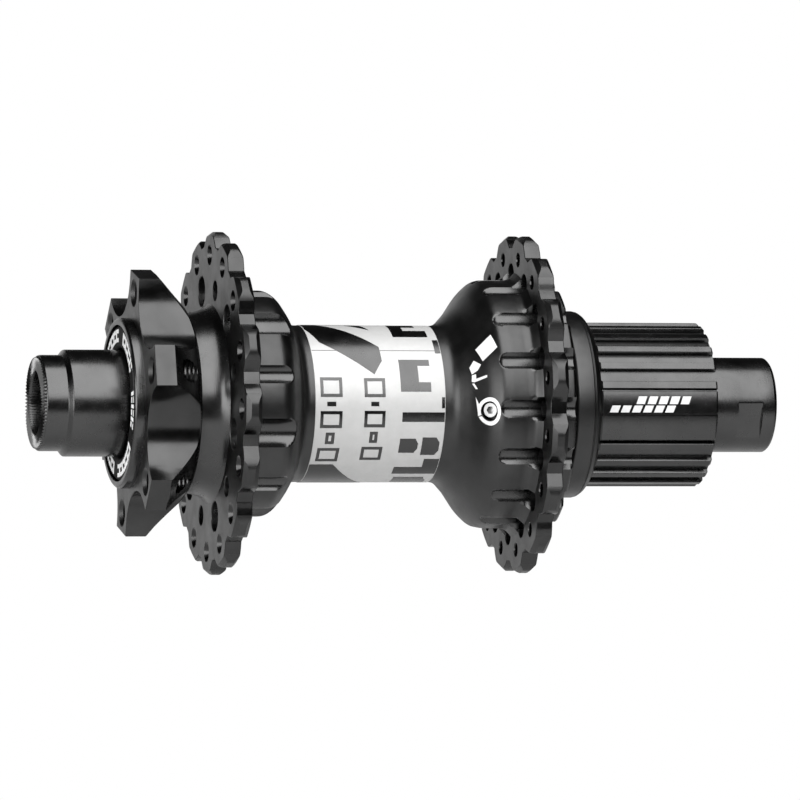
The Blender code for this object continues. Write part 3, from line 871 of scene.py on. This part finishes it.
def freehub_body():
    """Pawl carrier, collar and splines on one bore."""
    angles = spline_angles()
    splines = spline_radii(angles)
    outside = [
        (9.8, -17.5, 0.1),
        (14.6, -17.5, 0.3),
        (15.7, -18.6, 0.3),
        (15.7, -29.2, 0.3),
        (17.6, -29.9, 0.4),
        (18.4, -30.8, 0.3),
        (18.4, -34.0, 0.1),
        (18.15, -34.2, 0.05),
        (18.15, -34.3, 0.05),
        (18.3, -34.45, 0.1),
        (17.8, -35.2, 0.3),
        (16.7, -36.0, 0.4),
    ]
    rows = [row(radius, y, angles) for radius, y in rounded(outside)[2:]]
    rows.append(row(np.minimum(splines, 16.4), -36.3, angles))
    rows += [row(splines, y, angles) for y in (SPLINE_START_Y, -48.0, -59.4)]
    rows.append(row(np.minimum(splines, 15.85), -59.7, angles))
    rows.append(row(np.minimum(splines, 15.75), FREEHUB_END_Y, angles))
    bore = [
        (12.3, FREEHUB_END_Y, 0.15),
        (12.15, -59.6, 0.1),
        (12.15, -59.15, 0.02),
        (12.95, -59.15, 0.05),
        (12.95, -58.05, 0.05),
        (12.15, -58.05, 0.02),
        (12.15, -28.4, 0.15),
        (9.8, -28.4, 0.15),
        (9.8, -17.5, 0.1),
    ]
    eased = rounded(bore + outside[1:])[: 4 * len(bore)]
    rows += [row(radius, y, angles) for radius, y in eased]
    body = ring_mesh("freehub_splined_body", rows)
    cutter = bmesh.new()
    for k in range(PAWLS):
        outline = local_outline(pocket_outline(), PAWL_PHASE + 360.0 / PAWLS * k)
        add_prism(cutter, outline, -25.8, -19.1)
    cut(body, stored("pocket_cutter", cutter))
    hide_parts("freehub_body")
    dressed(body, BLACK, "freehub")
    painted(body, [BLASTED], collar_finish)


def collar_finish(radius, y, angle, slope):
    """A blasted skin on the collar above the splines."""
    return 1 if radius > 16.0 and y > SPLINE_START_Y else 0


def circlip():
    """Snap ring with a gap at the top, and its widest section opposite the gap."""
    bm = bmesh.new()
    count = 97
    loops = []
    for i in range(count):
        share = i / (count - 1)
        angle = CIRCLIP_GAP / 2 + (360.0 - CIRCLIP_GAP) * share
        inner = CIRCLIP_INSIDE - 0.15 * math.exp(-(((share - 0.5) / 0.5) ** 2))
        section = [(inner, CIRCLIP_OUTSIDE[0][1])] + CIRCLIP_OUTSIDE + [(inner, CIRCLIP_OUTSIDE[-1][1])]
        loop = []
        for radius, y in section:
            x, z = across_axis(radius, angle)
            loop.append(bm.verts.new((x, y, z)))
        loops.append(loop)
    sides = len(loops[0])
    for low, high in zip(loops, loops[1:]):
        for i in range(sides):
            k = (i + 1) % sides
            bm.faces.new((low[i], low[k], high[k], high[i]))
    bm.faces.new(loops[0])
    bm.faces.new(list(reversed(loops[-1])))
    ring = stored("snap_ring", bm)
    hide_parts("freehub_circlip")
    return dressed(ring, SPRING, "freehub")


# ------------------------------------------------------------------ fixed parts


def disc_end_cap():
    """Push-on cap: knurled end face, slim tip, conical step and collar."""
    angles = even_angles(CAP_TEETH * 4)
    tooth = np.tile([0.0, 0.5, 1.0, 0.5], CAP_TEETH)
    rows = []
    for radius, y, knurl in (
        (6.15, 73.2, 0.0),
        (6.35, 73.8, 0.25),
        (6.6, 74.0, 0.45),
        (7.2, 74.0, 0.45),
        (7.9, 74.0, 0.45),
        (8.5, 74.0, 0.45),
        (8.85, 73.85, 0.4),
    ):
        rows.append(row(radius, y - knurl * tooth, angles))
    outside = [
        (9.2, 73.3, 0.15),
        (CAP_RADIUS, 73.0, 0.2),
        (CAP_RADIUS, 69.0, 0.15),
        (10.4, 68.2, 0.2),
        (10.4, 55.95, 0.1),
        (8.9, 55.95, 0.1),
        (8.9, 56.3, 0.05),
        (7.75, 56.3, 0.1),
        (7.75, 70.2, 0.1),
        (6.15, 70.2, 0.1),
    ]
    rows += [row(radius, y, angles) for radius, y in rounded(outside)]
    cap = ring_mesh("disc_side_cap", rows, sharp=28.0)
    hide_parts("disc_end_cap")
    dressed(cap, BLACK, "axle")
    painted(cap, [KNURLED], lambda radius, y, angle, slope: 1 if y > 73.6 else 0)


def drive_end_cap():
    """Push-on cap with two wrench flats."""
    middles = list(FLAT_ANGLES)
    half = math.degrees(math.acos(FLAT_DISTANCE / CAP_RADIUS))
    angles = dense_angles(middles, [half] * 2, 31, 57)
    away = np.radians((angles - FLAT_ANGLES[0] + 90.0) % 180.0 - 90.0)
    flat = FLAT_DISTANCE / np.cos(away)
    outside = [
        (7.75, -58.25, 0.1),
        (CAP_RADIUS, -58.25, 0.15),
        (CAP_RADIUS, -65.9, 0.02),
        (CAP_RADIUS, -66.0, 0.02),
        (CAP_RADIUS, -71.0, 0.02),
        (CAP_RADIUS, -71.1, 0.02),
        (CAP_RADIUS, -73.45, 0.2),
        (8.8, -74.0, 0.2),
        (6.6, -74.0, 0.2),
        (6.15, -73.6, 0.15),
        (6.15, -70.2, 0.1),
        (7.75, -70.2, 0.1),
    ]
    rows = []
    for radius, y in rounded(outside):
        inside_flat = FLAT_Y[0] <= y <= FLAT_Y[1] and radius > 9.2
        rows.append(row(np.minimum(radius, flat) if inside_flat else radius, y, angles))
    cap = ring_mesh("drive_side_cap", rows, sharp=28.0)
    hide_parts("drive_end_cap")
    return dressed(cap, BLACK, "axle")


def axle_tube():
    """Hollow axle with a thicker waist between the shell's bearings."""
    outside = [
        (6.15, 70.0, 0.15),
        (7.5, 70.0, 0.25),
        (7.5, 48.2, 0.05),
        (8.8, 48.2, 0.3),
        (8.8, -9.2, 0.3),
        (7.5, -9.2, 0.05),
        (7.5, -70.0, 0.25),
        (6.15, -70.0, 0.15),
    ]
    tube = turned("axle_tube", outside)
    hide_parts("axle")
    return dressed(tube, ALUMINIUM, "axle")


def dust_cover():
    """Flat ring in the shell's disc end, round the disc side cap."""
    section = [
        (10.78, 55.95, 0.1),
        (15.0, 55.95, 0.15),
        (15.0, 57.0, 0.25),
        (14.6, 57.2, 0.1),
        (11.2, 57.2, 0.2),
        (10.78, 56.8, 0.15),
    ]
    cover = turned("dust_cover_ring", section)
    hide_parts("dust_cover")
    dressed(cover, MATT, "hub_shell")


# ------------------------------------------------------------------ prints


def shell_radius(y):
    """Radius of the shell's outside at y, away from the grooves."""
    outline = rounded(SHELL_OUTSIDE, steps=4)[::-1]
    pairs = sorted((point[1], point[0]) for point in outline if point[1] < 50.0)
    return float(np.interp(y, [pair[0] for pair in pairs], [pair[1] for pair in pairs]))


def add_print(bm, outline, surface, lift):
    """A thin solid of printed ink: an outline of (angle, y), laid on a surface of revolution."""
    flat = bmesh.new()
    flat.faces.new([flat.verts.new((angle, y, 0.0)) for angle, y in outline])
    for axis, step in ((0, 2.0), (1, 0.8)):
        low = min(vertex.co[axis] for vertex in flat.verts)
        high = max(vertex.co[axis] for vertex in flat.verts)
        normal = [0.0, 0.0, 0.0]
        normal[axis] = 1.0
        level = math.floor(low / step) * step + step
        while level < high:
            if axis == 0 or high - low > 1.2:
                spot = [0.0, 0.0, 0.0]
                spot[axis] = level
                geometry = flat.verts[:] + flat.edges[:] + flat.faces[:]
                bmesh.ops.bisect_plane(flat, geom=geometry, plane_co=spot, plane_no=normal, dist=0.00001)
            level += step
    top = []
    bottom = []
    for vertex in flat.verts:
        angle = math.radians(vertex.co.x)
        radius = surface(vertex.co.y)
        direction = Vector((-math.sin(angle), 0.0, math.cos(angle)))
        top.append(bm.verts.new(direction * (radius + lift) + Vector((0, vertex.co.y, 0))))
        bottom.append(bm.verts.new(direction * (radius + lift - PRINT_DEPTH) + Vector((0, vertex.co.y, 0))))
    flat.verts.index_update()
    for face in flat.faces:
        corners = [vertex.index for vertex in face.verts]
        bm.faces.new([top[i] for i in corners])
        bm.faces.new([bottom[i] for i in reversed(corners)])
    for edge in flat.edges:
        if len(edge.link_faces) == 1:
            a, b = (vertex.index for vertex in edge.verts)
            bm.faces.new((top[a], top[b], bottom[b], bottom[a]))
    flat.free()


def printed(name, outlines, surface, material, body, lift=PRINT_LIFT):
    """One piece of printed ink from outlines of (angle, y)."""
    bm = bmesh.new()
    for outline in outlines:
        add_print(bm, outline, surface, lift)
    return dressed(stored(name, bm), material, body)


def wrap():
    """Silver printed wrap round the centre tube, with plain dark shapes on it."""
    section = [
        (TUBE_RADIUS - 0.05, 21.45, 0.01),
        (TUBE_RADIUS + 0.06, 21.4, 0.02),
        (TUBE_RADIUS + 0.06, -4.6, 0.02),
        (TUBE_RADIUS - 0.05, -4.65, 0.01),
    ]
    sleeve = turned("tube_wrap", section, steps=192)
    dressed(sleeve, SILVER, "hub_shell")
    shapes = []
    for turn in (0.0, 180.0):
        shapes += wedges(turn)
        shapes.append(rectangle(turn + 47.4, turn + 47.8, -4.5, 21.3))
        shapes += small_columns(turn)
        shapes += large_blocks(turn)
    printed("wrap_dark_shapes", shapes, lambda y: TUBE_RADIUS, BLACK, "hub_shell", lift=0.10)


def turned_round(outlines, turn):
    """The same outlines of (angle, y), further round the axis."""
    return [[(turn + angle, y) for angle, y in outline] for outline in outlines]


def wedges(turn):
    """Large dark wedges at the wrap's disc end."""
    long_wedge = [(4, 21.3), (4, 18.8), (38, 9.4), (44, 7.7), (57, 7.6), (68, 9.4), (39, 19.4), (20, 21.3)]
    sliver = [(8, 12.6), (8, 9.6), (21, 8.4)]
    broad_wedge = [(140, 21.3), (140, 16.6), (176, 9.0), (182, 12.0), (182, 21.3)]
    return turned_round([long_wedge, sliver, broad_wedge], turn)


def small_columns(turn):
    """Two columns of plain bars in place of small print."""
    bars = []
    for start, width, low, high in ((70.5, 66.0, 16.0, 20.4), (71.0, 64.0, 7.4, 11.6)):
        lengths = (0.22, 0.05, 0.19, 0.14, 0.19)
        gap = (1.0 - sum(lengths)) / (len(lengths) - 1) * width
        at = start
        for i, length in enumerate(lengths):
            end = at + length * width
            inset = 0.0 if i % 2 == 0 else 1.3
            bars += hollow_block(turn + at, turn + end, low + inset, high - inset, 0.62)
            at = end + gap
    return bars


def hollow_block(start, end, low, high, line):
    """Four bars round a rectangle, or one bar where it is too slim to be hollow."""
    turn = math.degrees(line / TUBE_RADIUS)
    if high - low < 2.2 * line or end - start < 3.0 * turn:
        return [rectangle(start, end, low, high)]
    return [
        rectangle(start, start + turn, low, high),
        rectangle(end - turn, end, low, high),
        rectangle(start + turn, end - turn, low, low + line),
        rectangle(start + turn, end - turn, high - line, high),
    ]


def rectangle(start, end, low, high):
    """An outline between two angles and two places along Y."""
    return [(start, low), (end, low), (end, high), (start, high)]


def large_blocks(turn):
    """A band of bold plain blocks in place of large print."""
    outlines = [
        [(6, 4.2), (6, -1.2), (14, -1.2), (14, 1.6), (22, 1.6), (22, -2.8), (32, -2.8), (32, 4.2)],
        [(36, -3.4), (36, -4.5), (50, -4.5), (50, -3.4)],
        [(56, 4.3), (56, -1.8), (61, -1.8), (61, 0.6), (74, 0.6), (74, -1.8), (81, -1.8), (81, 4.3)],
        [(85, -3.9), (85, -4.5), (93, -4.5), (93, -3.9)],
        [(96, 4.0), (96, -4.5), (103, -4.5), (103, 4.0)],
        [(116, 4.1), (116, 1.0), (120, 0.4), (124, 0.4), (128, 1.0), (128, 4.1)],
        [(115, -0.4), (115, -3.2), (119, -3.9), (126, -3.9), (130, -3.2), (130, -0.4)],
        [(134, -1.4), (134, -4.5), (152, -4.5), (152, 4.2), (143, 4.2), (143, -1.4)],
        [(158, 3.4), (158, -2.6), (166, -3.4), (172, -3.4), (172, 3.4)],
    ]
    return turned_round(outlines, turn)


def grease_port_prints():
    """A plain drop round the grease port, and plain blocks above it."""

    def beside_port(distance, degrees):
        angle = math.radians(degrees)
        turn = math.degrees(distance * math.cos(angle) / PORT_SEAT[0])
        return (PORT_ANGLE + 0.6 + turn, PORT_SEAT[1] - 0.1 - distance * math.sin(angle) / PORT_CONE_RUN)

    drop = [beside_port(2.75, -60.0 + 300.0 * step / 28) for step in range(29)]
    drop.append((85.8, -9.7))
    drop.append(beside_port(2.8, -64.0))
    drop += [beside_port(1.98, -64.0 - 352.0 * step / 32) for step in range(33)]
    blocks = [
        [(54.0, -12.75), (62.0, -13.5), (66.5, -11.05), (57.6, -10.2)],
        [(63.8, -9.75), (68.0, -10.75), (70.6, -10.2), (71.8, -9.3), (67.2, -9.0)],
        [
            (72.4, -9.3),
            (76.2, -9.2),
            (77.0, -9.6),
            (75.9, -11.5),
            (74.7, -11.5),
            (75.2, -9.9),
            (72.4, -9.9),
        ],
        [(77.6, -9.25), (81.2, -9.75), (81.3, -10.05), (77.6, -9.55)],
    ]
    printed("grease_port_print", [drop] + blocks, shell_radius, WHITE_INK, "hub_shell")


def freehub_prints():
    """Two rows of slanted bars on the freehub's wide land."""
    pitch = 2.25
    width = 1.7
    slant = 0.55
    shapes = []
    for start_y, count, low, high in ((-43.0, 5, 84.2, 89.6), (-37.6, 6, 90.6, 95.4)):
        for k in range(count):
            y = start_y - pitch * k
            shapes.append([(high, y), (low, y - slant), (low, y - slant - width), (high, y - width)])
    printed("freehub_print", shapes, lambda y: SPLINE_TIP, WHITE_INK, "freehub", lift=0.03)


def dust_cover_prints():
    """Groups of plain blocks and pairs of dashes round the dust cover's face."""
    inside, outside = COVER_PRINT_RADII
    bm = bmesh.new()
    for group, marks in ((-42.0, 4), (18.0, 4), (80.0, 3), (128.0, 5), (196.0, 4), (250.0, 4)):
        for k in range(marks):
            start = group + 11.0 * k
            add_ring_block(bm, start, start + 3.2, inside, outside)
            add_ring_block(bm, start + 4.6, start + 9.6, 13.6, outside)
            add_ring_block(bm, start + 4.6, start + 9.6, inside, 12.7)
    # The ink here is painted brighter than the other white print, as painted light on the dimly lit cover
    # face.
    dressed(stored("dust_cover_print", bm), PAINTED_BRIGHTER_COVER_INK, "hub_shell")


def add_ring_block(bm, first, last, low, high):
    """A thin printed block on the dust cover, between two angles and two radii."""
    corners = [(low, first), (high, first), (high, last), (low, last)]
    loops = []
    for y in COVER_PRINT_Y:
        points = [row(radius, y, np.array([angle]))[0] for radius, angle in corners]
        loops.append([bm.verts.new(point) for point in points])
    bm.faces.new(loops[0])
    bm.faces.new(list(reversed(loops[1])))
    for i in range(4):
        k = (i + 1) % 4
        bm.faces.new((loops[0][k], loops[0][i], loops[1][i], loops[1][k]))


# ------------------------------------------------------------------ CAD nodes that stay


def dress_cad_nodes():
    """Procedural materials on the CAD nodes that stay as they are."""
    for name, node in frame["nodes"].items():
        if "seal" in name or "o_ring" in name:
            material = RUBBER
        elif "race_spacer" in name or "bearing_spacer" in name:
            material = ALUMINIUM
        elif "pawl_spring" in name:
            material = SPRING
        elif "pawl" in name or "ratchet" in name or "screw" in name:
            material = TOOL
        elif "race" in name or "ball_set" in name:
            material = STEEL
        else:
            material = BLACK
        for slot in node.material_slots:
            slot.material = material


# ------------------------------------------------------------------ stage


def floor():
    """Pale studio floor below the hub."""
    bm = bmesh.new()
    bmesh.ops.create_grid(bm, x_segments=8, y_segments=8, size=FLOOR_HALF_SIDE)
    bmesh.ops.translate(bm, vec=FLOOR_MIDDLE, verts=bm.verts)
    mesh = bpy.data.meshes.new("studio_floor")
    bm.to_mesh(mesh)
    bm.free()
    piece = bpy.data.objects.new("studio_floor", mesh)
    bpy.context.scene.collection.objects.link(piece)
    nodes = Nodes("pale_floor")
    nodes.shades(nodes.noise(3.0, 2.0), (0.76, 0.76, 0.76), (0.80, 0.80, 0.80))
    nodes.set(Roughness=0.8)
    mesh.materials.append(nodes.material)


def area_light(name, place, size, power):
    """A soft panel that faces the hub's middle and that the camera doesn't see."""
    data = bpy.data.lights.new(name, "AREA")
    data.shape = "RECTANGLE"
    data.size = size[0]
    data.size_y = size[1]
    data.energy = power
    light = bpy.data.objects.new(name, data)
    light.location = place
    to_middle = Vector((0.0, 0.0, 0.0)) - Vector(place)
    light.rotation_euler = to_middle.to_track_quat("-Z", "Y").to_euler()
    light.visible_camera = False
    bpy.context.scene.collection.objects.link(light)


def lights():
    """A large panel above, one at the disc side and a weak one behind."""
    area_light("main_softbox", (-0.50, 0.0, 0.64), (0.85, 1.4), 20.0)
    area_light("side_panel", (-0.65, 1.13, 0.15), (1.1, 0.7), 14.0)
    area_light("back_panel", (1.2, 0.45, 0.05), (1.4, 1.0), 3.0)


def world():
    """White backdrop for the camera, and a dim grey room for reflections and fill."""
    scene = bpy.context.scene
    scene.world = bpy.data.worlds.new("studio")
    scene.world.use_nodes = True
    tree = scene.world.node_tree
    tree.nodes.clear()
    output = tree.nodes.new("ShaderNodeOutputWorld")
    mix = tree.nodes.new("ShaderNodeMixShader")
    path = tree.nodes.new("ShaderNodeLightPath")
    room = tree.nodes.new("ShaderNodeBackground")
    room.inputs["Color"].default_value = (ROOM_GREY, ROOM_GREY, ROOM_GREY, 1.0)
    backdrop = tree.nodes.new("ShaderNodeBackground")
    backdrop.inputs["Color"].default_value = (1.0, 1.0, 1.0, 1.0)
    tree.links.new(path.outputs["Is Camera Ray"], mix.inputs["Fac"])
    tree.links.new(room.outputs[0], mix.inputs[1])
    tree.links.new(backdrop.outputs[0], mix.inputs[2])
    tree.links.new(mix.outputs[0], output.inputs["Surface"])
    scene.view_settings.view_transform = "Standard"


def camera():
    """A long lens at hub height, a little to the disc side."""
    turn = math.radians(CAMERA_TURN)
    ahead = Vector((math.cos(turn), -math.sin(turn), 0.0))
    right = Vector((-math.sin(turn), -math.cos(turn), 0.0))
    up = Vector((0.0, 0.0, 1.0))
    aim = right * CAMERA_AIM_RIGHT + up * CAMERA_AIM_UP
    data = bpy.data.cameras.new("camera")
    data.lens = CAMERA_LENS
    data.sensor_width = 36.0
    data.clip_end = 20.0
    piece = bpy.data.objects.new("camera", data)
    across = (right + up * CAMERA_ROLL).normalized()
    upward = (up - right * CAMERA_ROLL).normalized()
    matrix = Matrix((across, upward, -ahead)).transposed().to_4x4()
    matrix.translation = aim - ahead * CAMERA_DISTANCE
    piece.matrix_world = matrix
    bpy.context.scene.collection.objects.link(piece)
    bpy.context.scene.camera = piece


# ------------------------------------------------------------------ all of it

dress_cad_nodes()
hub_shell()
grease_port_screw()
dust_cover()
freehub_body()
circlip()
disc_end_cap()
drive_end_cap()
axle_tube()
wrap()
grease_port_prints()
freehub_prints()
dust_cover_prints()
floor()
lights()
world()
camera()
